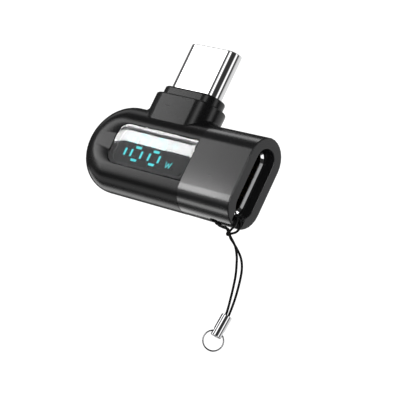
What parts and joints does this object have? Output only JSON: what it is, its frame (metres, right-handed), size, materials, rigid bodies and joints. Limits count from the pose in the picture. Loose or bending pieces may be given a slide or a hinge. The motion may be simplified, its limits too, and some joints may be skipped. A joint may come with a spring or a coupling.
{
  "type": "usb power meter",
  "caption": "Right-angle USB-C pass-through meter: a plug on its neck, a socket in its end face, a segment display on its front and a short strap.",
  "frame": {"origin": "where the plug shell leaves the collar, on the plug's axis", "axes": "+Z is the way the plug is pushed in, +X runs along the body to the socket end, -Y is the display side"},
  "size_m": [0.0319, 0.0065, 0.0372],
  "materials": {
    "housing": "fine satin moulded texture, near black",
    "sleeve": "smooth semi-gloss moulding, near black",
    "lens": "polished smoked window",
    "adhesive": "thin foam adhesive tape",
    "mask": "matte black print film",
    "diffuser": "milky light guide, lit cyan in its bars",
    "wells": "white reflector moulding",
    "board": "green solder mask over glass laminate",
    "chip": "moulded epoxy package",
    "ceramic": "fired chip capacitor",
    "shunt": "bare metal strip",
    "crystal_can": "drawn can",
    "led": "clear-cast chip package",
    "plug_steel": "bright nickel over drawn stainless steel",
    "spring_steel": "plain stamped steel",
    "socket_steel": "bright nickel over drawn stainless steel",
    "contact_gold": "gold flash over copper alloy",
    "insulator": "glass-filled moulding",
    "cord": "fine braided cord",
    "crimp": "bright plated tube",
    "ring": "bright plated spring wire"
  },
  "bodies": {
    "meter": {"display_diffuser": "diffuser", "display_housing": "housing", "display_lens": "lens", "display_mask": "mask", "input_capacitor": "ceramic", "led_icon_current": "led", "led_icon_watt": "led", "led_one_lower": "led", "led_one_upper": "led", "led_tens_bottom": "led", "led_tens_left_lower": "led", "led_tens_left_upper": "led", "led_tens_middle": "led", "led_tens_right_lower": "led", "led_tens_right_upper": "led", "led_tens_top": "led", "led_units_bottom": "led", "led_units_left_lower": "led", "led_units_left_upper": "led", "led_units_middle": "led", "led_units_right_lower": "led", "led_units_right_upper": "led", "led_units_top": "led", "lens_adhesive": "adhesive", "light_wells": "wells", "main_board": "board", "meter_chip": "chip", "output_capacitor": "ceramic", "plug_collar": "housing", "plug_contacts_back": "contact_gold", "plug_contacts_front": "contact_gold", "plug_earth_plate": "spring_steel", "plug_insulator": "insulator", "plug_latch_left": "spring_steel", "plug_latch_right": "spring_steel", "plug_shell": "plug_steel", "regulator_chip": "chip", "regulator_inductor": "chip", "shunt_resistor": "shunt", "socket_contacts_back": "contact_gold", "socket_contacts_front": "contact_gold", "socket_mid_plate": "spring_steel", "socket_shell": "socket_steel", "socket_sleeve": "sleeve", "socket_tongue": "insulator", "timing_crystal": "crystal_can"},
    "strap_hitch": {"hitch_cord_near": "cord", "hitch_cord_far": "cord", "strap_knot": "cord"},
    "strap": {"strap_cord_inner": "cord", "strap_cord_outer": "cord", "strap_crimp": "crimp"},
    "ring": {"strap_ring": "ring"}
  },
  "joints": [
    {"name": "hitch_sway", "type": "hinge", "parent": "meter", "child": "strap_hitch", "pos_m": [0.01445, 0, -0.0151], "axis": [1, 0, 0], "range_deg": [-20, 20]},
    {"name": "strap_swing", "type": "hinge", "parent": "strap_hitch", "child": "strap", "pos_m": [0.01513, 0, -0.0165], "axis": [0.6756, -0.7373, 0], "range_deg": [-60, 35]},
    {"name": "ring_swing", "type": "hinge", "parent": "strap", "child": "ring", "pos_m": [0.01799, 0.00262, -0.02799], "axis": [-0.7351, -0.6736, 0.0767], "range_deg": [-90, 90]}
  ]
}
